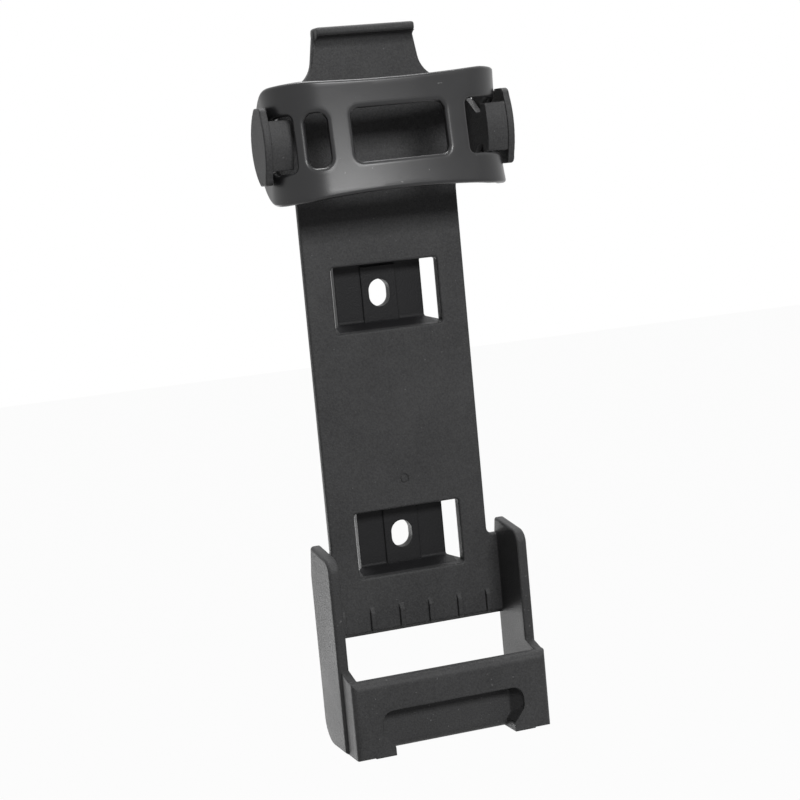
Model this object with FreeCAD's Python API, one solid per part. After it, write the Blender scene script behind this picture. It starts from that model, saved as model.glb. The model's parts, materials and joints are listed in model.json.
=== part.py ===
import FreeCAD, Part
import math
import os

# Holder for a folded bike lock, in millimetres.
# X runs to the right, Y away from the rider who looks at the holder, Z up.
# Everything is drawn with the back plate's front face at y = 0 and the middle
# of the two bolt slots at z = 0. At the end it all moves forward, so that the
# origin lies on the bolting face, halfway between the bolt slots.

# Back plate
plate_width = 43.6
plate_wall = 2.9
plate_bottom_z = -56.2
plate_edge_round = 0.6
plate_back_round = 1.3
corner_round = 0.8
foot_top_z = -34.6
foot_inner_round = 1.6
foot_chamfer = 1.0

# Windows and the bridges behind them
bolt_spacing = 64.0
bolt_slot_width = 5.8
bolt_slot_length = 7.2
window_width = 29.2
window_height = 17.1
window_drop = 0.6
bridge_depth = 6.4
bridge_wall = 2.6
bridge_start_y = 0.8
bridge_passage = 2.7
bridge_shelf = 2.4
bridge_inner_round = 0.8
bridge_back_round = 0.3
bridge_knee_round = 1.0
bridge_root_round = 0.3
bridge_root_overlap = 0.4
bridge_ledge_rise = 1.75
bridge_ledge_start = 0.8
land_width = 9.6
land_height = 0.5

# Crosshead that carries the two side hooks, and the tab above it
head_width = 55.2
head_bottom_z = 61.0
head_top_z = 86.0
head_under_round = 3.0
head_slope = 4.0
tab_width = 30.6
tab_taper = 2.25
tab_top_z = 100.5
tab_root_round = 7.0
tab_lip_reach = 2.5
tab_lip_wall = 2.2
tab_lip_round = 3.0
tab_lip_edge_round = 0.9
tab_lip_root = 8.0
tab_back_round = 1.6

# Side hooks: cheek, neck and oblong button
hook_z = 71.9
hook_axis_y = -12.4
cheek_wall = 1.7
cheek_height = 8.0
cheek_waist_y = -7.5
cheek_shoulder_height = 14.0
cheek_shoulder_y = -3.0
cheek_shoulder_round = 1.5
cheek_root_height = 17.0
cheek_root_y = 0.5
cheek_root_round = 1.0
cheek_overlap = 0.5
neck_height = 12.2
neck_front_y = -14.6
neck_depth = 4.0
neck_crown = 0.95
button_height = 19.1
button_front_y = -15.0
button_back_y = -3.0
button_wall = 1.8
button_edge_round = 0.4
button_corner = 1.8
button_front_bow = 1.7
button_waist_shift = 1.0

# Arms at the foot of the plate
arm_side_gap = 2.6
arm_wall = 2.8
arm_front_y = -13.7
arm_top_z = -30.5
arm_top_slope = 2.1
arm_top_back_y = 0.9
arm_nose_round = 3.6
arm_neck_z = -38.5
arm_heel_round = 6.5
arm_edge_round = 0.9
arm_inner_round = 0.6

# Cup that the lock stands in
cup_side_step = 0.7
cup_front_y = -21.5
cup_wall = 2.4
cup_floor_z = -82.6
cup_rim_z = -62.6
cup_flank_rise = 1.9
cup_rim_round = 2.2
cup_rim_flat = 0.8
cup_foot_round = 0.8
cup_arm_overlap = 1.5
cup_heel_flat = 1.0
cup_corner_round = 1.5
scoop_half = 19.5
scoop_mouth_step = 3.1
scoop_mouth_rise = 2.3
scoop_mouth_round = 1.2
scoop_shoulder_rise = 6.1
scoop_top_z = -71.0
scoop_top_taper = 0.4
scoop_depth = 5.7
scoop_draft = 2.1
scoop_flare = 0.3
scoop_round = 3.0
scoop_inner_round = 0.8

# Ribs low on the plate, and the round moulding mark
rib_count = 6
rib_pitch = 8.15
rib_width = 1.3
rib_length = 7.1
rib_height = 0.8
rib_root = 0.5
rib_rise = 0.6
mark_z = -16.6
mark_radius = 1.25
mark_width = 0.35
mark_depth = 0.2

# Rubber strap
strap_wall = 2.9
strap_front_y = -22.6
strap_corner = 14.0
strap_crown_deg = 8.0
strap_mid_height = 27.3
strap_end_height = 29.3
strap_waist_share = 0.78
strap_tilt_deg = 4.5
strap_skew_deg = 0.5
strap_window_half = 12.45
strap_window_height = 13.1
strap_window_rise = 0.25
strap_window_round = 2.0
strap_post_width = 5.85
strap_slot_width = 6.0
strap_slot_height = 13.4
strap_slot_round = 2.4
strap_bar_width = 2.6

# Clearances
hook_side_clearance = 0.45
eye_clearance = 0.8

# How far cutting tools run past a surface, and joined shapes into each other
overcut = 1.0
overlap = 0.1
touch = 0.01
# Share of half a slot's width used to round its ends, so that no edge vanishes
round_share = 0.999

# Sizes worked out from the ones above
bridge_back_y = bridge_depth + bridge_wall
bridge_width = window_width - 2 * bridge_passage
window_z = bolt_spacing / 2
tab_top_width = tab_width - 2 * tab_taper
hook_inner = head_width / 2 - cheek_wall
strap_outer = head_width / 2 + hook_side_clearance + strap_wall
button_inner = strap_outer + hook_side_clearance
arm_inner_half = plate_width / 2 + arm_side_gap
arm_outer = arm_inner_half + arm_wall
foot_half = arm_inner_half + arm_wall / 2
cup_half = arm_outer - cup_side_step
scoop_mouth_half = scoop_half - scoop_mouth_step
strap_slot_inner = strap_window_half + strap_post_width
strap_bar_inner = strap_slot_inner + strap_slot_width
eye_hole_radius = neck_height / 2 + eye_clearance


def vector(plane, a, b, depth):
    """A point from two coordinates in a named plane and one across it."""
    if plane == "xz":
        return FreeCAD.Vector(a, depth, b)
    if plane == "yz":
        return FreeCAD.Vector(depth, a, b)
    return FreeCAD.Vector(a, b, depth)


def rounded_wire(plane, corners, depth):
    """A closed wire through (a, b, radius) corners, each rounded by its radius."""
    ends = []
    count = len(corners)
    for index in range(count):
        a, b, radius = corners[index]
        here = FreeCAD.Vector(a, b, 0)
        before = FreeCAD.Vector(*corners[index - 1][:2], 0) - here
        after = FreeCAD.Vector(*corners[(index + 1) % count][:2], 0) - here
        before.normalize()
        after.normalize()
        if radius <= 0:
            ends.append((here, None, here))
            continue
        half = before.getAngle(after) / 2
        reach = radius / math.tan(half)
        middle = before + after
        middle.normalize()
        centre = here + middle * (radius / math.sin(half))
        crown = centre - middle * radius
        ends.append((here + before * reach, crown, here + after * reach))
    edges = []
    for index in range(count):
        start, crown, end = ends[index]
        if crown is not None:
            arc = [vector(plane, p.x, p.y, depth) for p in (start, crown, end)]
            edges.append(Part.Arc(*arc).toShape())
        following = ends[(index + 1) % count][0]
        if (following - end).Length > 1e-6:
            line = [vector(plane, p.x, p.y, depth) for p in (end, following)]
            edges.append(Part.LineSegment(*line).toShape())
    return Part.Wire(edges)


def across(plane):
    """The direction across a plane."""
    return {"xz": FreeCAD.Vector(0, 1, 0),
            "yz": FreeCAD.Vector(1, 0, 0),
            "xy": FreeCAD.Vector(0, 0, 1)}[plane]


def prism(plane, corners, low, high):
    """A rounded outline drawn at depth low and extruded to depth high."""
    face = Part.Face(rounded_wire(plane, corners, low))
    return face.extrude(across(plane) * (high - low))


def box(x0, x1, y0, y1, z0, z1):
    """A block between two opposite corners."""
    return Part.makeBox(x1 - x0, y1 - y0, z1 - z0, FreeCAD.Vector(x0, y0, z0))


def mirrored(shape):
    """The same shape on the other side of the middle plane."""
    return shape.mirror(FreeCAD.Vector(0, 0, 0), FreeCAD.Vector(1, 0, 0))


def both_sides(corners):
    """A right-hand half outline, from bottom to top, closed by its mirror image."""
    left = [(-a, b, radius) for a, b, radius in reversed(corners)]
    return corners + left


def edges_at(shape, axis, value, tolerance=1e-4):
    """The edges that lie wholly in one plane across an axis."""
    found = []
    for edge in shape.Edges:
        limits = edge.BoundBox
        low = getattr(limits, axis + "Min")
        high = getattr(limits, axis + "Max")
        if abs(low - value) < tolerance and abs(high - value) < tolerance:
            found.append(edge)
    return found


def plate_outline():
    """Foot, plate, crosshead and tab as one silhouette."""
    return both_sides([
        (foot_half, plate_bottom_z, 0),
        (foot_half, foot_top_z, 0),
        (plate_width / 2, foot_top_z, foot_inner_round),
        (plate_width / 2, head_bottom_z - head_slope / 2, head_under_round),
        (head_width / 2, head_bottom_z + head_slope / 2, head_under_round),
        (head_width / 2, head_top_z, head_under_round),
        (tab_width / 2, head_top_z, tab_root_round),
        (tab_top_width / 2, tab_top_z, corner_round),
    ])


def window_outline(centre_z):
    """The opening in the plate in front of one bridge."""
    half = window_width / 2
    low = centre_z - window_drop - window_height / 2
    return both_sides([(half, low, corner_round), (half, low + window_height, corner_round)])


def plate():
    """The back plate with its two windows and softened front edges."""
    shape = prism("xz", plate_outline(), 0, plate_wall)
    back = [edge for edge in edges_at(shape, "Y", plate_wall)
            if edge.BoundBox.ZMin > (plate_bottom_z + foot_top_z) / 2]
    shape = shape.makeFillet(plate_back_round, back)
    for centre_z in (window_z, -window_z):
        shape = shape.cut(prism("xz", window_outline(centre_z), -overcut, plate_wall + overcut))
    front = edges_at(shape, "Y", 0)
    shape = shape.makeFillet(plate_edge_round, front)
    below = plate_bottom_z - overcut
    slope = [(-overcut, below, 0), (foot_chamfer, below, 0),
             (foot_chamfer, plate_bottom_z, 0), (0, plate_bottom_z + foot_chamfer, 0),
             (-overcut, plate_bottom_z + foot_chamfer, 0)]
    return shape.cut(prism("yz", slope, -foot_half - overcut, foot_half + overcut))


def bridge(centre_z):
    """The set-back wall behind a window: two shelves, a wall and a slotted bolt hole."""
    low = centre_z - window_drop - window_height / 2
    high = low + window_height
    half = window_width / 2 + corner_round
    block = box(-half, half, bridge_start_y, bridge_back_y,
                low - bridge_shelf, high + bridge_shelf)
    hollow = prism("yz", [(-overcut, low, 0), (bridge_ledge_start, low, 0),
                          (bridge_depth, low + bridge_ledge_rise, bridge_inner_round),
                          (bridge_depth, high, bridge_inner_round), (-overcut, high, 0)],
                   -half - overcut, half + overcut)
    plan = both_sides([(bridge_width / 2, bridge_back_y, bridge_back_round),
                       (bridge_width / 2, bridge_depth, bridge_knee_round),
                       (half, plate_wall - bridge_root_overlap, bridge_root_round), (half, 0, 0)])
    land = box(-land_width / 2, land_width / 2, bridge_depth - land_height, bridge_depth + overlap,
               low + bridge_ledge_rise, high - bridge_inner_round)
    tall = prism("xy", plan, low - 2 * bridge_shelf, high + 2 * bridge_shelf)
    return block.cut(hollow).common(tall).fuse(land).cut(bolt_slot(centre_z))


def bolt_slot(centre_z):
    """A bolt hole, longer than it is wide so that the holder can be shifted."""
    radius = bolt_slot_width / 2
    half = bolt_slot_length / 2
    corners = both_sides([(radius, centre_z - half, radius * round_share),
                          (radius, centre_z + half, radius * round_share)])
    return prism("xz", corners, bridge_depth - land_height - overcut, bridge_back_y + overcut)


def tab_lip():
    """The tab's top, curled forward into a small lip."""
    root_z = tab_top_z - tab_lip_root
    under_z = tab_top_z - tab_lip_wall
    profile = [(plate_wall, root_z, 0), (plate_wall, tab_top_z, tab_back_round),
               (-tab_lip_reach, tab_top_z, tab_lip_edge_round),
               (-tab_lip_reach, under_z, tab_lip_edge_round),
               (0, under_z, tab_lip_round), (0, root_z, 0)]
    shape = prism("yz", profile, -tab_top_width / 2, tab_top_width / 2)
    return shape.common(prism("xz", plate_outline(), -tab_lip_reach - overcut, plate_wall + overcut))


def bulged_block(front_y, back_y, height, crown, x0, x1):
    """A block whose front face bows forward a little from top to bottom."""
    half = height / 2
    top = FreeCAD.Vector(x0, front_y + crown, hook_z + half)
    middle = FreeCAD.Vector(x0, front_y, hook_z)
    bottom = FreeCAD.Vector(x0, front_y + crown, hook_z - half)
    back_bottom = FreeCAD.Vector(x0, back_y, hook_z - half)
    back_top = FreeCAD.Vector(x0, back_y, hook_z + half)
    wire = Part.Wire([Part.Arc(top, middle, bottom).toShape(),
                      Part.makeLine(bottom, back_bottom),
                      Part.makeLine(back_bottom, back_top),
                      Part.makeLine(back_top, top)])
    return Part.Face(wire).extrude(FreeCAD.Vector(x1 - x0, 0, 0))


def button():
    """The oblong button at a hook's end, flat in front and rounder behind."""
    half = button_height / 2
    shoulder = half - button_corner
    front = button_front_y + button_front_bow
    waist = (button_front_y + button_back_y) / 2 + button_waist_shift
    slant = button_corner * (1 - math.sqrt(0.5))

    def at(y, z):
        return FreeCAD.Vector(button_inner, y, hook_z + z)

    edges = [
        Part.Arc(at(front, -shoulder), at(button_front_y, 0), at(front, shoulder)).toShape(),
        Part.Arc(at(front, shoulder), at(front + slant, half - slant),
                 at(front + button_corner, half)).toShape(),
        Part.makeLine(at(front + button_corner, half), at(waist, half)),
        Part.Arc(at(waist, half), at(button_back_y, 0), at(waist, -half)).toShape(),
        Part.makeLine(at(waist, -half), at(front + button_corner, -half)),
        Part.Arc(at(front + button_corner, -half), at(front + slant, -half + slant),
                 at(front, -shoulder)).toShape(),
    ]
    shape = Part.Face(Part.Wire(edges)).extrude(FreeCAD.Vector(button_wall, 0, 0))
    outer = edges_at(shape, "X", button_inner + button_wall)
    return shape.makeFillet(button_edge_round, outer)


def hook():
    """The right-hand hook: a cheek off the crosshead, a neck and the button."""
    back = neck_front_y + neck_depth
    upper = [(back - cheek_overlap, hook_z + cheek_height / 2, 0),
             (cheek_waist_y, hook_z + cheek_height / 2, cheek_shoulder_round),
             (cheek_shoulder_y, hook_z + cheek_shoulder_height / 2, cheek_shoulder_round),
             (cheek_root_y, hook_z + cheek_root_height / 2, cheek_root_round),
             (plate_wall, hook_z + cheek_root_height / 2, 0)]
    lower = [(y, 2 * hook_z - z, radius) for y, z, radius in reversed(upper)]
    cheek = prism("yz", lower + upper, hook_inner, hook_inner + cheek_wall)
    neck = bulged_block(neck_front_y, back, neck_height, neck_crown,
                        hook_inner, button_inner + overlap)
    return cheek.fuse([neck, button()])


def arm():
    """The right-hand arm beside the plate's foot and the cup."""
    outline = [
        (plate_wall, cup_floor_z, arm_heel_round),
        (arm_front_y, cup_floor_z, arm_edge_round),
        (arm_front_y, arm_top_z - arm_top_slope, arm_nose_round),
        (arm_top_back_y, arm_top_z, corner_round),
        (plate_wall, arm_neck_z, arm_nose_round),
    ]
    shape = prism("yz", outline, arm_inner_half, arm_outer)
    shape = shape.makeFillet(arm_edge_round, edges_at(shape, "X", arm_outer))
    return shape.makeFillet(arm_inner_round, edges_at(shape, "X", arm_inner_half))


def cup():
    """The cup: front wall, flanks and floor, with a scoop in the front wall."""
    back_y = arm_front_y + cup_arm_overlap
    flank_z = cup_rim_z + cup_flank_rise
    plan = both_sides([(cup_half, cup_front_y, cup_corner_round), (cup_half, back_y, 0)])
    side = [(cup_front_y, cup_floor_z, cup_foot_round), (cup_front_y, cup_rim_z, cup_rim_round),
            (cup_front_y + cup_rim_round + cup_rim_flat, cup_rim_z, 0),
            (back_y, flank_z, 0), (back_y, cup_floor_z, 0)]
    shell = prism("xy", plan, cup_floor_z - overcut, flank_z + overcut)
    shell = shell.common(prism("yz", side, -cup_half - overcut, cup_half + overcut))
    step_top = scoop_top_z + cup_wall
    step_y = cup_front_y + scoop_depth + cup_wall
    step_half = scoop_half + cup_wall
    hollow = box(-arm_inner_half, arm_inner_half, cup_front_y + cup_wall, plate_wall,
                 cup_floor_z + cup_wall, flank_z + 2 * overcut)
    step = box(-step_half, step_half, cup_front_y, step_y, cup_floor_z, step_top)
    front = cup_front_y + cup_wall / 2
    heel_z = cup_floor_z + arm_heel_round + cup_heel_flat
    floor = prism("yz", [(front, cup_floor_z, 0),
                         (plate_wall, cup_floor_z, arm_heel_round),
                         (plate_wall, heel_z, 0),
                         (plate_wall - cup_wall, heel_z, 0),
                         (plate_wall - cup_wall, cup_floor_z + cup_wall, arm_heel_round - cup_wall),
                         (front, cup_floor_z + cup_wall, 0)],
                  -arm_inner_half - arm_edge_round, arm_inner_half + arm_edge_round)
    shape = shell.cut(hollow).fuse([step, floor])
    return shape.cut(scoop())


def scoop():
    """The hollow let into the cup's front wall, open at the bottom."""
    back = cup_front_y + scoop_depth
    below = cup_floor_z - overcut
    ahead = cup_front_y - overcut
    face = both_sides([(scoop_mouth_half, below, 0),
                       (scoop_mouth_half, cup_floor_z + scoop_mouth_rise, scoop_mouth_round),
                       (scoop_half, cup_floor_z + scoop_shoulder_rise, scoop_round),
                       (scoop_half - scoop_top_taper, scoop_top_z, scoop_round)])
    plan = both_sides([(scoop_half - scoop_draft, back, scoop_inner_round),
                       (scoop_half + scoop_flare, cup_front_y, 0),
                       (scoop_half + scoop_flare, ahead, 0)])
    hollow = prism("xz", face, ahead, back + touch)
    hollow = hollow.common(prism("xy", plan, below - overcut, scoop_top_z + overcut))
    under = box(-scoop_mouth_half, scoop_mouth_half, back - touch, back + cup_wall,
                below, cup_floor_z + cup_wall)
    roll = Part.makeCylinder(cup_wall, 2 * (scoop_mouth_half + overcut),
                             FreeCAD.Vector(-scoop_mouth_half - overcut, back + cup_wall,
                                            cup_floor_z + cup_wall),
                             FreeCAD.Vector(1, 0, 0))
    return hollow.fuse(under.cut(roll))


def ribs():
    """Short upright ribs above the plate's bottom edge, ramped at both ends."""
    foot = plate_bottom_z + rib_rise
    top = plate_bottom_z + rib_length
    profile = [(rib_root, foot, 0), (0, foot, 0), (-rib_height, foot + rib_height, 0),
               (-rib_height, top - rib_width, 0), (0, top, 0), (rib_root, top, 0)]
    made = []
    for index in range(rib_count):
        middle = (index - (rib_count - 1) / 2) * rib_pitch
        made.append(prism("yz", profile, middle - rib_width / 2, middle + rib_width / 2))
    return made


def moulding_mark():
    """A shallow ring where the mould's pin pushed the part out."""
    centre = FreeCAD.Vector(0, mark_depth, mark_z)
    forward = FreeCAD.Vector(0, -1, 0)
    outer = Part.makeCylinder(mark_radius, mark_depth + overcut, centre, forward)
    inner = Part.makeCylinder(mark_radius - mark_width, mark_depth + overcut, centre, forward)
    return outer.cut(inner)


def holder_body():
    """The one-piece moulding."""
    pieces = [bridge(window_z), bridge(-window_z), tab_lip(), cup()]
    right = [hook(), arm()]
    shape = plate().fuse(pieces + right + [mirrored(piece) for piece in right] + ribs())
    shape = shape.cut(moulding_mark())
    return shape.removeSplitter()


def strap_plan(wall_from, wall_to):
    """The band seen from above, between two depths below its outer face."""
    corner_x, corner_y = corner_centre()
    eye_back = eye_radius() + overcut

    def run(depth):
        radius = strap_corner - depth
        tip = math.radians(90) - crown_angle()
        points = []
        for angle in (0, tip / 2, tip):
            points.append(FreeCAD.Vector(corner_x + radius * math.cos(angle),
                                         corner_y - radius * math.sin(angle), 0))
        front = FreeCAD.Vector(0, strap_front_y + depth, 0)
        back = FreeCAD.Vector(strap_outer - depth, hook_axis_y + eye_back, 0)
        return back, points, front

    outer_back, outer, outer_front = run(wall_from)
    inner_back, inner, inner_front = run(wall_to)

    def flip(point):
        return FreeCAD.Vector(-point.x, point.y, 0)

    edges = [Part.makeLine(outer_back, outer[0]),
             Part.Arc(outer[0], outer[1], outer[2]).toShape(),
             Part.Arc(outer[2], outer_front, flip(outer[2])).toShape(),
             Part.Arc(flip(outer[2]), flip(outer[1]), flip(outer[0])).toShape(),
             Part.makeLine(flip(outer[0]), flip(outer_back)),
             Part.makeLine(flip(outer_back), flip(inner_back)),
             Part.makeLine(flip(inner_back), flip(inner[0])),
             Part.Arc(flip(inner[0]), flip(inner[1]), flip(inner[2])).toShape(),
             Part.Arc(flip(inner[2]), inner_front, inner[2]).toShape(),
             Part.Arc(inner[2], inner[1], inner[0]).toShape(),
             Part.makeLine(inner[0], inner_back),
             Part.makeLine(inner_back, outer_back)]
    return Part.Face(Part.Wire(edges))


def crown_angle():
    """How far the band has turned where its front bow meets its corners."""
    return math.radians(strap_crown_deg)


def crown_radius():
    """Radius of the band's front bow."""
    half = strap_outer - strap_corner + strap_corner * math.sin(crown_angle())
    return half / math.sin(crown_angle())


def corner_centre():
    """The middle of the band's right-hand corner, seen from above."""
    sag = crown_radius() * (1 - math.cos(crown_angle()))
    return strap_outer - strap_corner, strap_front_y + sag + strap_corner * math.cos(crown_angle())


def eye_radius():
    """Outer radius of the round eye at each end of the band."""
    return strap_end_height / 2


def strap_front_view():
    """The band's height seen from the front: a little lower in the middle."""
    mid = strap_mid_height / 2
    end = strap_end_height / 2
    wide = strap_outer + overcut
    step = strap_outer * strap_waist_share

    def at(x, z):
        return FreeCAD.Vector(x, strap_front_y - strap_wall, hook_z + z)

    edges = [Part.Arc(at(-step, end), at(0, mid), at(step, end)).toShape(),
             Part.makeLine(at(step, end), at(wide, end)),
             Part.makeLine(at(wide, end), at(wide, -end)),
             Part.makeLine(at(wide, -end), at(step, -end)),
             Part.Arc(at(step, -end), at(0, -mid), at(-step, -end)).toShape(),
             Part.makeLine(at(-step, -end), at(-wide, -end)),
             Part.makeLine(at(-wide, -end), at(-wide, end)),
             Part.makeLine(at(-wide, end), at(-step, end))]
    return Part.Face(Part.Wire(edges)).extrude(FreeCAD.Vector(0, 2 * strap_outer, 0))


def eye_side_view():
    """The band seen from the side: straight in front, a half circle behind."""
    radius = eye_radius()
    front = strap_front_y - overcut
    top = FreeCAD.Vector(0, hook_axis_y, hook_z + radius)
    back = FreeCAD.Vector(0, hook_axis_y + radius, hook_z)
    bottom = FreeCAD.Vector(0, hook_axis_y, hook_z - radius)
    low = FreeCAD.Vector(0, front, hook_z - radius)
    high = FreeCAD.Vector(0, front, hook_z + radius)
    wire = Part.Wire([Part.Arc(top, back, bottom).toShape(), Part.makeLine(bottom, low),
                      Part.makeLine(low, high), Part.makeLine(high, top)])
    reach = strap_outer + overcut
    return Part.Face(wire).extrude(FreeCAD.Vector(2 * reach, 0, 0)).translated(
        FreeCAD.Vector(-reach, 0, 0))


def wall_cut(from_x, to_x, centre_z, height, radius):
    """A rounded opening square through the band's wall, between two places on its outer face."""
    start = band_face(from_x)
    end = band_face(to_x)
    along = end - start
    width = along.Length
    turn = math.degrees(math.atan2(along.y, along.x))
    low = centre_z - height / 2
    high = centre_z + height / 2
    corners = [(0, low, radius), (width, low, radius), (width, high, radius), (0, high, radius)]
    tool = prism("xz", corners, -2 * strap_wall, 2 * strap_wall)
    tool.rotate(FreeCAD.Vector(0, 0, 0), FreeCAD.Vector(0, 0, 1), turn)
    return tool.translated(start)


def band_face(x):
    """The point of the band's outer face at a distance from the middle."""
    centre_x, centre_y = corner_centre()
    if x > centre_x + strap_corner * math.sin(crown_angle()):
        fall = math.sqrt(strap_corner ** 2 - (x - centre_x) ** 2)
        return FreeCAD.Vector(x, centre_y - fall, 0)
    radius = crown_radius()
    return FreeCAD.Vector(x, strap_front_y + radius - math.sqrt(radius ** 2 - x ** 2), 0)


def eye_hole(inner_x):
    """The hole round a hook's neck, from the band's front round to its side."""
    centre_x, centre_y = corner_centre()
    start = band_face(inner_x)
    turn = math.degrees(math.asin((inner_x - centre_x) / strap_corner))
    low = hook_z - eye_hole_radius
    high = hook_z + eye_hole_radius
    reach = 2 * strap_corner
    corners = [(0, low, strap_slot_round), (reach, low, 0),
               (reach, high, 0), (0, high, strap_slot_round)]
    front = prism("xz", corners, -strap_wall, strap_corner)
    front.rotate(FreeCAD.Vector(0, 0, 0), FreeCAD.Vector(0, 0, 1), turn)
    front.translate(start)
    outside = strap_outer + overcut
    ahead = box(centre_x, outside, strap_front_y - overcut, hook_axis_y,
                low - overcut, high + overcut)
    pin = Part.makeCylinder(eye_hole_radius, outside - centre_x,
                            FreeCAD.Vector(centre_x, hook_axis_y, hook_z),
                            FreeCAD.Vector(1, 0, 0))
    return front.common(ahead).fuse(pin)


def rubber_strap():
    """The band that keeps the lock in, with a round eye over each hook."""
    height = strap_end_height + 2 * overcut
    band = strap_plan(0, strap_wall).extrude(FreeCAD.Vector(0, 0, height))
    band.translate(FreeCAD.Vector(0, 0, hook_z - height / 2))
    band = band.common(strap_front_view()).common(eye_side_view())
    window = wall_cut(-strap_window_half, strap_window_half, hook_z + strap_window_rise,
                      strap_window_height, strap_window_round)
    slot = wall_cut(strap_slot_inner, strap_bar_inner, hook_z, strap_slot_height,
                    strap_slot_round)
    right_eye = eye_hole(strap_slot_inner)
    left_eye = mirrored(eye_hole(strap_bar_inner + strap_bar_width))
    band = band.cut(window).cut(mirrored(slot)).cut(right_eye).cut(left_eye)
    hooks = FreeCAD.Vector(0, hook_axis_y, hook_z)
    band.rotate(hooks, FreeCAD.Vector(0, 1, 0), -strap_skew_deg)
    band.rotate(hooks, FreeCAD.Vector(1, 0, 0), -strap_tilt_deg)
    return band.removeSplitter()


def write(name, shape):
    """Move a finished piece into the mounting frame and save it."""
    shape = shape.copy()
    shape.translate(FreeCAD.Vector(0, -bridge_back_y, 0))
    limits = shape.BoundBox
    print(name, "solids", len(shape.Solids), "valid", shape.isValid(),
          "volume", round(shape.Volume, 1),
          "size", [round(v, 2) for v in (limits.XLength, limits.YLength, limits.ZLength)])
    shape.exportStep(os.path.join("parts", name + ".step"))


os.makedirs("parts", exist_ok=True)
write("holder_body", holder_body())
write("rubber_strap", rubber_strap())
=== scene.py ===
# %% [markdown]
# # A bike lock bracket
# The bracket is bolted to a bicycle's frame and carries a folded lock. It is two real pieces: a black
# plastic moulding with a fine grain, and a satin rubber strap that hooks over a button at each side. The
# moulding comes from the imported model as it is, and only gets its finish here. The strap is built anew as
# a mesh, because rubber has soft rims all round its openings.

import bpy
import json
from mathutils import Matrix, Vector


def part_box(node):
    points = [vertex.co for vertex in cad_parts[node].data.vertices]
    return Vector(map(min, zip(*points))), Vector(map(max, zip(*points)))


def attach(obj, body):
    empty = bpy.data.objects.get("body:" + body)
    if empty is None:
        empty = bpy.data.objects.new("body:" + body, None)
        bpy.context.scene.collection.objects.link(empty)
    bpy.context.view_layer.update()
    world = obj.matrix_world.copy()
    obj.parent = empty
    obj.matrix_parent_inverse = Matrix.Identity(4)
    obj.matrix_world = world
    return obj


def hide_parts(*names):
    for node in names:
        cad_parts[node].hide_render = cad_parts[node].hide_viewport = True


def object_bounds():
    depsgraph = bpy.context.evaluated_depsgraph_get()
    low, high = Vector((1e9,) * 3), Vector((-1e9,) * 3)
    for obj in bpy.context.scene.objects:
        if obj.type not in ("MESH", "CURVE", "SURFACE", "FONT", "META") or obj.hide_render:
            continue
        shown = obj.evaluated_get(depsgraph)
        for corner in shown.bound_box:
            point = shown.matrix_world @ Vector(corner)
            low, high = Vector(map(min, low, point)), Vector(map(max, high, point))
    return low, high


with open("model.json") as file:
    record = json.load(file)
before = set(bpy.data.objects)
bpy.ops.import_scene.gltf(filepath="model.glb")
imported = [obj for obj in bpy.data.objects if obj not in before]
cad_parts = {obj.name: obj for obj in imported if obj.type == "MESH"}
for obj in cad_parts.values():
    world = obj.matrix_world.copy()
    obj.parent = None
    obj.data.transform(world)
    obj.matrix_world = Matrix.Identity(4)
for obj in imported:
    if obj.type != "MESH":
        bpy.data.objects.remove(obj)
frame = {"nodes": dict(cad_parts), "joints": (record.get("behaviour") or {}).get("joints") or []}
cad_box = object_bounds()

# %% [markdown]
# Blender counts in metres, but nobody thinks of a bracket in metres. Every size below is written in
# millimetres times one unit, so that it can be read off like a drawing.

# %% Modules and the unit
import json
import math

import bmesh
import bpy
from mathutils import Matrix, Vector
from mathutils.geometry import delaunay_2d_cdt

MM = 0.001
print("sizes below are in millimetres times", MM)

# %% [markdown]
# A material is a small network of nodes. Written as links it is hard to read, so one class wraps a socket
# that carries a number, and adds a Math node whenever two such values are added, multiplied or compared.
# The reflected forms let a plain number stand on the left, as in 0.4 + mask * 0.1.


# %% Shader values as Python expressions
class ShaderValue:
    """A number on its way through the nodes of a finish."""

    def __init__(self, finish, socket):
        self.finish = finish
        self.socket = socket

    def maths(self, operation, *terms):
        node = self.finish.node("ShaderNodeMath", {"operation": operation}, dict(enumerate(terms)))
        return ShaderValue(self.finish, node.outputs[0])

    def __add__(self, other):
        return self.maths("ADD", self, other)

    def __radd__(self, other):
        return self.maths("ADD", other, self)

    def __sub__(self, other):
        return self.maths("SUBTRACT", self, other)

    def __rsub__(self, other):
        return self.maths("SUBTRACT", other, self)

    def __mul__(self, other):
        return self.maths("MULTIPLY", self, other)

    def __rmul__(self, other):
        return self.maths("MULTIPLY", other, self)

    def __abs__(self):
        return self.maths("ABSOLUTE", self)

    def above(self, limit):
        """1 where this value is above the limit, and 0 elsewhere."""
        return self.maths("GREATER_THAN", self, limit)

    def below(self, limit):
        """1 where this value is below the limit, and 0 elsewhere."""
        return self.maths("LESS_THAN", self, limit)

    def larger(self, other):
        """The larger of two values."""
        return self.maths("MAXIMUM", self, other)


print("values can be added, subtracted, multiplied and compared")

# %% [markdown]
# Every other node comes from one method. It takes the node's type, then its settings, which have to be
# set before its sockets are used, and then what goes into each socket: a plain value or a link. A
# material and the world both own such a network, so the class takes either as its owner.
# Patterns are placed by the Object output of Texture Coordinate. Those places are fixed to the piece, so
# the grain doesn't slide over it when a joint moves.


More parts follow.
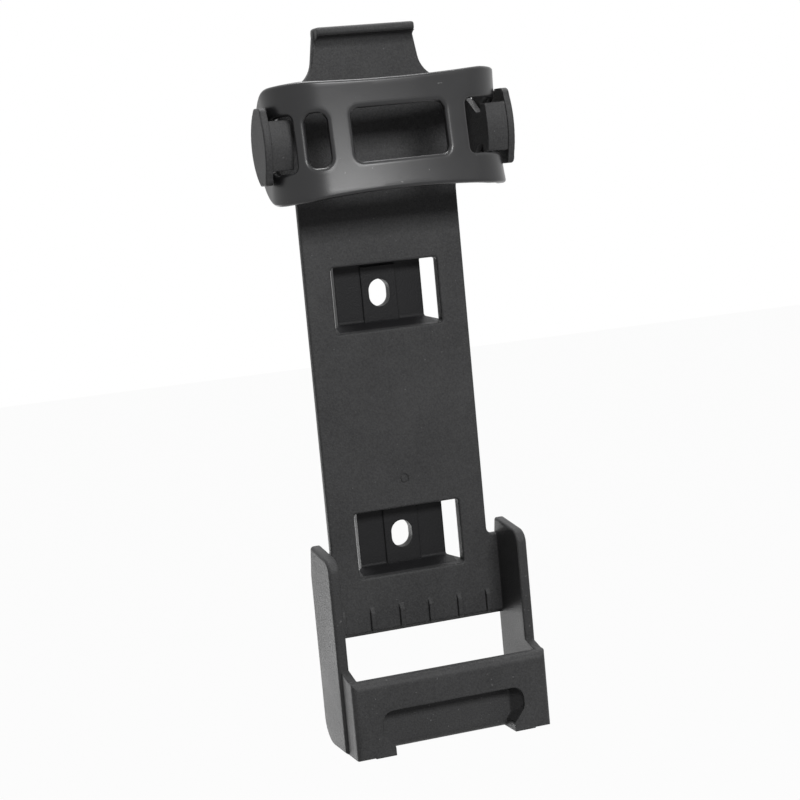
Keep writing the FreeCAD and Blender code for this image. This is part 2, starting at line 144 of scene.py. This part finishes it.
# %% A finish and its nodes
class Finish:
    """The nodes of one material, or of the world."""

    def __init__(self, owner):
        owner.use_nodes = True
        self.owner = owner
        self.tree = owner.node_tree
        self.tree.nodes.clear()

    def node(self, kind, settings=None, sockets=None):
        node = self.tree.nodes.new(kind)
        for name, value in (settings or {}).items():
            setattr(node, name, value)
        for name, value in (sockets or {}).items():
            source = getattr(value, "socket", value)
            if isinstance(source, bpy.types.NodeSocket):
                self.tree.links.new(source, node.inputs[name])
            else:
                node.inputs[name].default_value = source
        return node

    def places(self):
        """Places on the piece in metres, fixed to the piece."""
        return self.node("ShaderNodeTexCoord").outputs["Object"]

    def axes(self):
        """The same places as three values: across, back and up."""
        split = self.node("ShaderNodeSeparateXYZ", None, {"Vector": self.places()})
        return [ShaderValue(self, split.outputs[axis]) for axis in "XYZ"]

    def noise(self, size, detail=2.0, roughness=0.5):
        """Cloudy noise whose blots are about size metres across."""
        cloud = self.node("ShaderNodeTexNoise", None, {
            "Vector": self.places(), "Scale": 1 / size, "Detail": detail, "Roughness": roughness})
        return ShaderValue(self, cloud.outputs[0])

    def mix(self, factor, first, second):
        """A colour between two colours."""
        blend = self.node("ShaderNodeMix", {"data_type": "RGBA"}, {0: factor, 6: first, 7: second})
        return blend.outputs[2]

    def surface(self, **sockets):
        """The finished material, with each word naming a socket of the main shader."""
        named = {name.replace("_", " "): value for name, value in sockets.items()}
        shader = self.node("ShaderNodeBsdfPrincipled", None, named)
        self.node("ShaderNodeOutputMaterial", None, {"Surface": shader.outputs[0]})
        return self.owner


print("a finish adds its own nodes")

# %% [markdown]
# The moulding is black plastic. The show faces have a spark-eroded grain, pits well under half a
# millimetre across that scatter the light. The bolt seats deep in the two windows get a darker colour,
# which is painted shade for the shade that falls in these recesses. Such a seat could be a second material
# on its faces, but the imported mesh has one slot. So the seats are found by their place: behind the
# plate's front, and near the height of a bolt.

# %% Where the bolt seats lie
SEAT_FRONT = -7.4 * MM
SEAT_BACK = -0.4 * MM
SEAT_HALF_WIDTH = 13.2 * MM
SEAT_HALF_HEIGHT = 10.5 * MM
BOLT_HEIGHT = 32 * MM


def seat_shade_mask(finish):
    """1 on the bolt seats inside the windows, where the painted shade goes, and 0 elsewhere."""
    across, back, up = finish.axes()
    from_bolt = abs(abs(up) - BOLT_HEIGHT)
    deep = back.above(SEAT_FRONT) * back.below(SEAT_BACK)
    return deep * abs(across).below(SEAT_HALF_WIDTH) * from_bolt.below(SEAT_HALF_HEIGHT)


print("bolt seats at heights in mm:", round(BOLT_HEIGHT / MM), "and", round(-BOLT_HEIGHT / MM))

# %% [markdown]
# The grain itself could be a picture of a real mould texture, but noise has no seams and needs no file.
# One noise makes the pits and a finer one their floor. Both go into the Bump node, and the pits also
# darken the colour, as a pit holds its own shadow. Broad clouds shift the roughness a little, as the flow
# of the melt does, and a few pale specks stand for dust. The Bevel node rounds the light over the edges
# that the mould left nearly sharp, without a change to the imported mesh.


# %% The moulded plastic
def moulded_plastic():
    finish = Finish(bpy.data.materials.new("moulded_plastic"))
    pits = finish.noise(0.42 * MM, detail=1.5)
    fine = finish.noise(0.16 * MM, detail=1.0)
    flow = finish.noise(14 * MM, detail=3.0, roughness=0.6)
    specks = finish.noise(0.7 * MM, detail=0.0).above(0.84)
    black = (0.012, 0.012, 0.013, 1)
    grey = (0.100, 0.100, 0.101, 1)
    pale = (0.16, 0.16, 0.16, 1)
    # Painted shade: a darker colour for the bolt seats deep in the windows.
    seat_painted_shade = (0.016, 0.016, 0.017, 1)
    grained = finish.mix(flow * 0.4 + pits * 0.6, black, grey)
    speckled = finish.mix(specks * 0.6, grained, pale)
    # The bolt seats get painted shade, a darker colour for the shade in these recesses.
    colour = finish.mix(seat_shade_mask(finish), speckled, seat_painted_shade)
    edges = finish.node("ShaderNodeBevel", {"samples": 6}, {"Radius": 0.5 * MM})
    bump = finish.node("ShaderNodeBump", None, {
        "Strength": 1.0, "Distance": 0.11 * MM, "Height": pits * 0.75 + fine * 0.25,
        "Normal": edges.outputs[0]})
    return finish.surface(Base_Color=colour, Roughness=0.37 + flow * 0.12 + pits * 0.06,
                          Normal=bump.outputs[0], IOR=1.24)


plastic = moulded_plastic()
print("made", plastic.name)

# %% [markdown]
# The moulding is one shot of plastic: the plate, the tab, the hooks, the arms and the cup. Its exact form
# was drawn as a solid, so nothing is modelled over it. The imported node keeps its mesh, and only what is
# in its material slot changes.

# %% Dress the moulding
holder = frame["nodes"]["holder_body"]
for place in holder.material_slots:
    place.material = plastic
holder_low, holder_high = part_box("holder_body")
print("holder height in mm:", round((holder_high.z - holder_low.z) / MM, 1))

# %% [markdown]
# The strap is smoother than the moulding. Rubber out of a polished mould has a satin sheen, which comes
# from a lower roughness and a higher IOR than the plastic's. A soft cloudiness breaks the sheen up, as
# the bloom on rubber does, and a very fine bump keeps its reflection from looking like paint.


# %% The strap's rubber
def strap_rubber():
    finish = Finish(bpy.data.materials.new("strap_rubber"))
    haze = finish.noise(9 * MM, detail=3.0, roughness=0.55)
    skin = finish.noise(0.30 * MM, detail=2.0)
    waves = finish.noise(3.2 * MM, detail=1.0)
    dust = finish.noise(0.8 * MM, detail=0.0).above(0.85)
    black = (0.012, 0.012, 0.013, 1)
    grey = (0.022, 0.022, 0.023, 1)
    pale = (0.17, 0.17, 0.17, 1)
    cloudy = finish.mix(haze * 0.8 + skin * 0.2, black, grey)
    dusty = finish.mix(dust * 0.5, cloudy, pale)
    bump = finish.node("ShaderNodeBump", None, {
        "Strength": 0.25, "Distance": 0.05 * MM, "Height": skin * 0.5 + waves * 0.5})
    return finish.surface(Base_Color=dusty, Roughness=0.25 + haze * 0.12 + skin * 0.04,
                          Normal=bump.outputs[0], IOR=1.47)


rubber = strap_rubber()
print("made", rubber.name)

# %% [markdown]
# Seen from above, the strap is a band bent into a wide U: a gentle bow in front, a round corner at each
# side and straight ends that lie beside the buttons. It could be a flat mesh with a Curve modifier, but a
# short formula says the same and gives exact places. A place on the band is given by its run, the length
# along the outer face from the middle, and by its height. Bending a flat outline this way keeps every rim
# square to the wall.

# %% The strap's plan
hook_line = Vector(next(joint for joint in frame["joints"] if joint["name"] == "strap_swing")["pos_m"])
STRAP_HALF = 30.95 * MM
STRAP_WALL = 2.9 * MM
STRAP_REACH = 10.2 * MM
CORNER_RADIUS = 14 * MM
BOW_TURN = math.radians(8)
front_y = hook_line.y - STRAP_REACH
corner_x = STRAP_HALF - CORNER_RADIUS
bow_radius = (corner_x + CORNER_RADIUS * math.sin(BOW_TURN)) / math.sin(BOW_TURN)
corner_y = front_y + bow_radius * (1 - math.cos(BOW_TURN)) + CORNER_RADIUS * math.cos(BOW_TURN)
bow_run = bow_radius * BOW_TURN
corner_run = CORNER_RADIUS * (math.pi / 2 - BOW_TURN)


def plan_place(run):
    """The outer face's place and outward direction, seen from above, at a run from the middle."""
    side = 1 if run >= 0 else -1
    run = abs(run)
    if run <= bow_run:
        turn = run / bow_radius
        x = bow_radius * math.sin(turn)
        y = front_y + bow_radius * (1 - math.cos(turn))
    elif run <= bow_run + corner_run:
        turn = BOW_TURN + (run - bow_run) / CORNER_RADIUS
        x = corner_x + CORNER_RADIUS * math.sin(turn)
        y = corner_y - CORNER_RADIUS * math.cos(turn)
    else:
        turn = math.pi / 2
        x = STRAP_HALF
        y = corner_y + run - bow_run - corner_run
    return side * x, y, side * math.sin(turn), -math.cos(turn)


print("run to the end of a corner in mm:", round((bow_run + corner_run) / MM, 1))

# %% [markdown]
# Openings are measured on a bench from the front or from the side, with a straight rule. Two small
# functions turn such a straight distance into the run along the bent face.


# %% From a straight distance to a run
def run_at_x(x):
    """The run at a distance from the middle plane, in front or round the corner."""
    if x <= bow_radius * math.sin(BOW_TURN):
        return bow_radius * math.asin(x / bow_radius)
    return bow_run + CORNER_RADIUS * (math.asin((x - corner_x) / CORNER_RADIUS) - BOW_TURN)


def run_at_y(y):
    """The run at a depth on the corner or on the straight end."""
    if y >= corner_y:
        return bow_run + corner_run + y - corner_y
    return bow_run + CORNER_RADIUS * (math.acos((corner_y - y) / CORNER_RADIUS) - BOW_TURN)


hook_run = run_at_y(hook_line.y)
print("run to the hooks in mm:", round(hook_run / MM, 1))

# %% [markdown]
# Laid flat, the band is a little lower in the middle than at its ends, with edges that sweep in along a
# wide arc, and each end is half a circle about the line through the hooks. The outline is followed as one
# closed loop of places (run, height), in short steps so that it can bend with the plan.

# %% The strap's outline
MID_HALF = 13.65 * MM
END_HALF = 14.65 * MM
WAIST_REACH = 0.78 * STRAP_HALF
STEP = 0.7 * MM
END_STEPS = 56
waist_radius = (WAIST_REACH ** 2 + (END_HALF - MID_HALF) ** 2) / (2 * (END_HALF - MID_HALF))


def edge_height(run):
    """Half the band's height at a run."""
    x = min(abs(plan_place(run)[0]), WAIST_REACH)
    return MID_HALF + waist_radius - math.sqrt(waist_radius ** 2 - x ** 2)


def around_hooks(radius, count):
    """Places on a half circle about the hooks' line, from its top round the back to its bottom."""
    found = []
    for index in range(count + 1):
        turn = math.pi / 2 - math.pi * index / count
        y = hook_line.y + radius * math.cos(turn)
        found.append((run_at_y(y), radius * math.sin(turn)))
    return found


def band_outline():
    """The band's outer edge, anticlockwise in run and height."""
    count = round(2 * hook_run / STEP)
    runs = [-hook_run + 2 * hook_run * index / count for index in range(1, count)]
    end = around_hooks(END_HALF, END_STEPS)
    bottom = [(run, -edge_height(run)) for run in runs]
    right = [(run, height) for run, height in reversed(end)]
    top = [(run, edge_height(run)) for run in reversed(runs)]
    left = [(-run, height) for run, height in end]
    return bottom + right + top + left


outline = band_outline()
print("places on the outline:", len(outline))

# %% [markdown]
# The strap has four openings: a wide window in front, a narrow slot on the left, and a hole in each end
# for the hook. The left hole starts behind the slot, past a thin bar. The right one has no slot before it
# and reaches further forward. They could be cut with Boolean modifiers, which leave ragged edges on a
# bent face. Here each one is a loop in the flat outline, so its rim can be rounded like the outer edge.

# %% Loops with round corners
CORNER_STEPS = 9


def corner_arc(run, height, radius, start):
    """A quarter turn about a centre, from a starting angle in degrees."""
    found = []
    for index in range(CORNER_STEPS + 1):
        turn = math.radians(start + 90 * index / CORNER_STEPS)
        found.append((run + radius * math.cos(turn), height + radius * math.sin(turn)))
    return found


def divided(loop):
    """The loop with its long straight stretches cut into steps."""
    found = []
    for index, (run, height) in enumerate(loop):
        next_run, next_height = loop[(index + 1) % len(loop)]
        length = math.hypot(next_run - run, next_height - height)
        count = max(1, round(length / STEP))
        for part in range(count):
            share = part / count
            found.append((run + (next_run - run) * share, height + (next_height - height) * share))
    return found


def rounded_opening(from_run, to_run, low, high, radius):
    """A rectangular opening with round corners."""
    loop = corner_arc(to_run - radius, high - radius, radius, 0)
    loop += corner_arc(from_run + radius, high - radius, radius, 90)
    loop += corner_arc(from_run + radius, low + radius, radius, 180)
    loop += corner_arc(to_run - radius, low + radius, radius, 270)
    return divided(loop)


print("steps in a round corner:", CORNER_STEPS)

# %% [markdown]
# The hook's neck passes through its hole with under a millimetre to spare, and the strap can be tipped
# about it. So the hole's back is a half circle about the hooks' line, and its two front corners are tight
# enough to clear the neck's own corners when the strap is tipped right down.

# %% The strap's openings
WINDOW_HALF = 12.45 * MM
WINDOW_HEIGHT = 13.1 * MM
WINDOW_RISE = 0.25 * MM
WINDOW_ROUND = 2.0 * MM
SLOT_FROM = 18.3 * MM
SLOT_TO = 24.3 * MM
SLOT_HEIGHT = 13.4 * MM
SLOT_ROUND = 2.4 * MM
BAR_WIDTH = 2.45 * MM
EYE_RADIUS = 6.9 * MM
EYE_CORNER = 1.5 * MM
EYE_STEPS = 30


def eye_opening(from_run, side):
    """The hole for a hook, with a round back and two tight corners in front."""
    loop = corner_arc(from_run + EYE_CORNER, EYE_RADIUS - EYE_CORNER, EYE_CORNER, 90)
    loop += corner_arc(from_run + EYE_CORNER, EYE_CORNER - EYE_RADIUS, EYE_CORNER, 180)
    loop += reversed(around_hooks(EYE_RADIUS, EYE_STEPS))
    if side < 0:
        loop = [(-run, height) for run, height in reversed(loop)]
    return divided(loop)


window_half = run_at_x(WINDOW_HALF)
window_low = WINDOW_RISE - WINDOW_HEIGHT / 2
openings = [
    rounded_opening(-window_half, window_half, window_low, window_low + WINDOW_HEIGHT, WINDOW_ROUND),
    rounded_opening(-run_at_x(SLOT_TO), -run_at_x(SLOT_FROM), -SLOT_HEIGHT / 2, SLOT_HEIGHT / 2,
                    SLOT_ROUND),
    eye_opening(run_at_x(SLOT_FROM), 1),
    eye_opening(run_at_x(SLOT_TO + BAR_WIDTH), -1),
]
print("openings:", len(openings))

# %% [markdown]
# Moulded rubber has no sharp edge anywhere. A Bevel modifier could round them, but it pinches at small
# corners. Instead a rim is made by moving a loop sideways off the edge while it goes down into the wall,
# along a quarter circle. The same is done on the inner face, so that the edge is round on both sides.

# %% Loops that follow an edge
EDGE_ROUND = 0.85 * MM
OPENING_ROUND = 1.05 * MM
RIM_STEPS = 6


def moved_loop(loop, distance):
    """The loop moved to its left by a distance."""
    found = []
    for index, (run, height) in enumerate(loop):
        before = loop[index - 1]
        after = loop[(index + 1) % len(loop)]
        along = Vector((after[0] - before[0], after[1] - before[1])).normalized()
        found.append((run - along.y * distance, height + along.x * distance))
    return found


def rim_rows(loop, radius, side):
    """Rows of (places, depth) from the outer face round the edge to the inner face."""
    rows = []
    for index in range(RIM_STEPS + 1):
        turn = math.pi / 2 * (1 - index / RIM_STEPS)
        inset = radius * (1 - math.cos(turn))
        rows.append((moved_loop(loop, side * inset), radius * (1 - math.sin(turn))))
    back = [(places, STRAP_WALL - depth) for places, depth in reversed(rows)]
    return rows + back


print("rim radius in mm:", round(EDGE_ROUND / MM, 2), "and", round(OPENING_ROUND / MM, 2))

# %% [markdown]
# Depth is measured from the outer face. A thick strip of rubber that is bent one way curls the other way
# across its width, so the band's middle lies 0.6 mm deeper than its top and bottom edges. That
# curl makes the lower half of the band catch more of the light. Last, the whole band is tipped and skewed
# a little about the hooks, as a strap that was put on by hand.

# %% From a flat place to the bent band
CURL = 0.6 * MM
STRAP_TILT = math.radians(-4.5)
STRAP_SKEW = math.radians(-0.5)
tilted = Matrix.Rotation(STRAP_TILT, 4, "X") @ Matrix.Rotation(STRAP_SKEW, 4, "Y")
tip = Matrix.Translation(hook_line) @ tilted @ Matrix.Translation(-hook_line)


def band_place(run, height, depth):
    """A point of the finished band."""
    x, y, out_x, out_y = plan_place(run)
    curl = CURL * (1 - (height / END_HALF) ** 2) * (1 - depth / STRAP_WALL)
    inward = depth + curl
    return tip @ Vector((x - out_x * inward, y - out_y * inward, hook_line.z + height))


print("band's front middle in mm:", [round(v / MM, 1) for v in band_place(0, 0, 0)])

# %% [markdown]
# One large face with holes would shade badly once it is bent, and could not bend at all inside. So the
# face is filled with a grid of places, and a Delaunay triangulation joins them to the loops in small even
# triangles. The grid keeps clear of the loops, because two places that nearly touch make slivers.

# %% A grid of places inside the face
GRID_CLEARANCE = 0.45 * STEP


def inside(place, loop):
    """Whether a place lies inside a closed loop."""
    run, height = place
    crossings = 0
    for index, (a_run, a_height) in enumerate(loop):
        b_run, b_height = loop[(index + 1) % len(loop)]
        if (a_height > height) != (b_height > height):
            share = (height - a_height) / (b_height - a_height)
            crossings += run < a_run + (b_run - a_run) * share
    return crossings % 2 == 1


def on_face(place, border, holes):
    """Whether a place lies inside the border and outside every hole."""
    return inside(place, border) and not any(inside(place, hole) for hole in holes)


def face_grid(border, holes):
    """Places spread over the face, clear of its loops."""
    inner_border = moved_loop(border, GRID_CLEARANCE)
    grown_holes = [moved_loop(hole, -GRID_CLEARANCE) for hole in holes]
    reach = max(run for run, height in border)
    columns = round(2 * reach / STEP)
    rows = round(2 * END_HALF / STEP)
    grid = []
    for column in range(columns + 1):
        for row in range(rows + 1):
            place = (-reach + 2 * reach * column / columns, -END_HALF + 2 * END_HALF * row / rows)
            if on_face(place, inner_border, grown_holes):
                grid.append(place)
    return grid


print("clearance of the grid in mm:", round(GRID_CLEARANCE / MM, 2))

# %% [markdown]
# The triangulation fills everything inside the outer loop, the openings too. A triangle is kept only if
# its middle lies on the face.

# %% Fill the face between its loops
MERGE_DISTANCE = 1e-9


def filled_face(border, holes):
    """Places and triangles that fill the border, leaving the holes open."""
    places = []
    edges = []
    for loop in [border] + holes:
        start = len(places)
        places += loop
        edges += [(start + index, start + (index + 1) % len(loop)) for index in range(len(loop))]
    places += face_grid(border, holes)
    found = delaunay_2d_cdt([Vector(place) for place in places], edges, [], 0, MERGE_DISTANCE)
    points = [tuple(point) for point in found[0]]
    triangles = []
    for triangle in found[2]:
        middle = [sum(points[corner][axis] for corner in triangle) / 3 for axis in (0, 1)]
        if on_face(middle, border, holes):
            triangles.append(tuple(triangle))
    return points, triangles


face_border = moved_loop(outline, EDGE_ROUND)
face_holes = [moved_loop(opening, -OPENING_ROUND) for opening in openings]
face_places, face_triangles = filled_face(face_border, face_holes)
print("triangles on one face:", len(face_triangles))

# %% [markdown]
# The band is one closed skin: an outer face, an inner face, and a rim round the outline and each opening.
# Each part gives its own points and faces, in the same order for every rim, and they are put together at
# the end.


# %% The parts of the strap's skin
def face_part(depth, inner):
    """The band's face at a depth, with the inner one turned to look the other way."""
    points = [band_place(run, height, depth) for run, height in face_places]
    faces = [triangle[::-1] if inner else triangle for triangle in face_triangles]
    return points, faces


def rim_part(loop, radius, side):
    """A round rim from the outer face to the inner one."""
    rows = rim_rows(loop, radius, side)
    points = [band_place(run, height, depth) for places, depth in rows for run, height in places]
    count = len(loop)
    faces = []
    for row in range(len(rows) - 1):
        upper = row * count
        lower = upper + count
        for index in range(count):
            after = (index + 1) % count
            faces.append((upper + index, lower + index, lower + after, upper + after))
    return points, faces


skin_parts = [face_part(0, False), face_part(STRAP_WALL, True), rim_part(outline, EDGE_ROUND, 1)]
skin_parts += [rim_part(opening, OPENING_ROUND, -1) for opening in openings]
print("parts of the skin:", len(skin_parts))

# %% [markdown]
# A mesh is a list of points and a list of faces that name their points by number. When a part is added,
# its numbers are moved up by the points that are already there.


# %% Build the strap
def joined_mesh(name, parts):
    """One mesh from several lots of points and faces."""
    points = []
    faces = []
    for part_points, part_faces in parts:
        start = len(points)
        points += [tuple(point) for point in part_points]
        faces += [[start + corner for corner in face] for face in part_faces]
    mesh = bpy.data.meshes.new(name)
    mesh.from_pydata(points, [], faces)
    return mesh


strap = bpy.data.objects.new("rubber_strap_moulded", joined_mesh("rubber_strap_moulded", skin_parts))
bpy.context.scene.collection.objects.link(strap)
print("strap faces:", len(strap.data.polygons))

# %% [markdown]
# The faces and the rims were made apart, so the points where they meet are doubled. Welding them gives
# one closed skin, and outward normals with smooth shading let the rims catch the light evenly. No edge
# may be left open.

# %% Weld and smooth the strap
WELD_DISTANCE = 0.001 * MM

welded = bmesh.new()
welded.from_mesh(strap.data)
bmesh.ops.remove_doubles(welded, verts=welded.verts, dist=WELD_DISTANCE)
bmesh.ops.recalc_face_normals(welded, faces=welded.faces)
open_edges = sum(1 for edge in welded.edges if not edge.is_manifold)
welded.to_mesh(strap.data)
welded.free()
for face in strap.data.polygons:
    face.use_smooth = True
strap.data.materials.append(rubber)
print("open edges:", open_edges)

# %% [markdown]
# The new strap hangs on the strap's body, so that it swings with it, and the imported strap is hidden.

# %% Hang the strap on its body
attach(strap, "strap")
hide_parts("rubber_strap")
print("the strap swings about the line through the hooks at height in mm:", round(hook_line.z / MM, 1))

# %% [markdown]
# The camera stands to the left of the bracket and a little above it, half a metre away, and is rolled by
# a few degrees, so that the bracket leans in the picture. A long lens keeps the upright edges nearly
# parallel. The turns are put together from the world inwards: to the side, down, and then round the line
# of sight.

# %% Camera
CAMERA_PLACE = Vector((-175.28, -504.60, 67.76)) * MM
CAMERA_AZIMUTH = math.radians(19.56)
CAMERA_ELEVATION = math.radians(6.91)
CAMERA_ROLL = math.radians(5.33)
CAMERA_LENS = 91.8
CAMERA_SENSOR = 36

camera_data = bpy.data.cameras.new("camera")
camera_data.lens = CAMERA_LENS
camera_data.sensor_width = CAMERA_SENSOR
camera_data.clip_start = 0.01
camera_data.clip_end = 20
camera = bpy.data.objects.new("camera", camera_data)
bpy.context.scene.collection.objects.link(camera)
bpy.context.scene.camera = camera
turn = Matrix.Rotation(-CAMERA_AZIMUTH, 4, "Z")
nod = Matrix.Rotation(math.pi / 2 - CAMERA_ELEVATION, 4, "X")
roll = Matrix.Rotation(-CAMERA_ROLL, 4, "Z")
camera.matrix_world = Matrix.Translation(CAMERA_PLACE) @ turn @ nod @ roll
print("camera looks along", [round(v, 3) for v in camera.matrix_world.to_3x3() @ Vector((0, 0, -1))])

# %% [markdown]
# The background is plain white. If the world simply shone white, it would light the black plastic from
# all sides and wash out its shadows. The Light Path node tells what kind of ray is asking: the camera, a
# gloss or a clear piece gets white, and a soft ray that gathers light gets next to nothing.

# %% White world
WORLD_LIGHT = 0.01


def seen_white(finish):
    """1 for rays from the camera, off a glossy surface or through glass, and 0 for soft light."""
    path = finish.node("ShaderNodeLightPath")
    from_camera, off_gloss, through_glass = (
        ShaderValue(finish, path.outputs[name])
        for name in ("Is Camera Ray", "Is Glossy Ray", "Is Transmission Ray"))
    return from_camera.larger(off_gloss).larger(through_glass)


def white_world():
    """White to look at and in reflections, but dim as a light."""
    finish = Finish(bpy.data.worlds.new("white_world"))
    strength = WORLD_LIGHT + seen_white(finish) * (1 - WORLD_LIGHT)
    white = finish.node("ShaderNodeBackground", None, {"Color": (1, 1, 1, 1), "Strength": strength})
    finish.node("ShaderNodeOutputWorld", None, {"Surface": white.outputs[0]})
    return finish.owner


bpy.context.scene.world = white_world()
print("world light on the object:", WORLD_LIGHT)

# %% [markdown]
# The bracket hangs on its bolts, so the floor lies well below it. It is matt, and for the same kinds of
# ray as above it is mixed with a white glow, so that it meets the background without a dark line and
# still keeps a trace of shadow.

# %% Floor
FLOOR_DROP = 220 * MM
FLOOR_HALF = 3000 * MM
FLOOR_GLOW = 0.97
FLOOR_MATT = 0.25


def floor_finish():
    """Matt grey as a surface, and close to white as a background."""
    finish = Finish(bpy.data.materials.new("floor_white"))
    matt = finish.node("ShaderNodeBsdfDiffuse", None, {"Color": (FLOOR_MATT, FLOOR_MATT, FLOOR_MATT, 1)})
    glow = finish.node("ShaderNodeEmission", None, {"Color": (1, 1, 1, 1), "Strength": 1.0})
    both = finish.node("ShaderNodeMixShader", None, {
        0: seen_white(finish) * FLOOR_GLOW, 1: matt.outputs[0], 2: glow.outputs[0]})
    finish.node("ShaderNodeOutputMaterial", None, {"Surface": both.outputs[0]})
    return finish.owner


floor_z = cad_box[0].z - FLOOR_DROP
floor_corners = [(-FLOOR_HALF, -FLOOR_HALF, floor_z), (FLOOR_HALF, -FLOOR_HALF, floor_z),
                 (FLOOR_HALF, FLOOR_HALF, floor_z), (-FLOOR_HALF, FLOOR_HALF, floor_z)]
floor_mesh = bpy.data.meshes.new("floor")
floor_mesh.from_pydata(floor_corners, [], [(0, 1, 2, 3)])
floor_mesh.materials.append(floor_finish())
floor = bpy.data.objects.new("floor", floor_mesh)
bpy.context.scene.collection.objects.link(floor)
print("floor at z in mm:", round(floor_z / MM, 1))

# %% [markdown]
# Three soft boxes light the bracket. The key box in front, 25 degrees up, does most of the work: it
# throws the strap's shadow down the plate, and its reflection is the pale patch on the rubber. The top
# box hangs overhead, a little behind, and draws a bright line along each edge that faces up, so that
# black stands off black. The side box stands low behind the left side. A matt black wall seen almost
# edge-on reflects it strongly, and so the arm's outer side turns grey. Each lamp's power follows from its
# size, so that its glow alone says how bright its face is.


# %% Soft boxes
def soft_box(name, azimuth, elevation, distance, width, height, glow):
    """A lamp aimed at the bracket. Azimuth 0 is in front, positive is to the right, and glow 1 is white."""
    lamp = bpy.data.lights.new(name, "AREA")
    lamp.shape = "RECTANGLE"
    lamp.size = width
    lamp.size_y = height
    lamp.energy = glow * math.pi * width * height
    side_turn = math.radians(azimuth)
    lift = math.radians(elevation)
    away = Vector((math.sin(side_turn) * math.cos(lift), -math.cos(side_turn) * math.cos(lift),
                   math.sin(lift)))
    box = bpy.data.objects.new(name, lamp)
    box.location = (holder_low + holder_high) / 2 + away * distance
    box.rotation_mode = "QUATERNION"
    box.rotation_quaternion = away.to_track_quat("Z", "Y")
    box.visible_camera = False
    bpy.context.scene.collection.objects.link(box)
    return box


boxes = [
    soft_box("key_box", azimuth=4, elevation=25.5, distance=1.0, width=0.42, height=0.21, glow=25),
    soft_box("top_box", azimuth=0, elevation=99, distance=0.8, width=0.50, height=0.30, glow=17),
    soft_box("side_box", azimuth=-159, elevation=-21, distance=0.6, width=0.42, height=0.18, glow=2.6),
]
print("soft boxes:", [box.name for box in boxes])

# %% [markdown]
# Colours are shown as they are, with no film look over them.

# %% Finish
bpy.context.scene.view_settings.view_transform = "Standard"
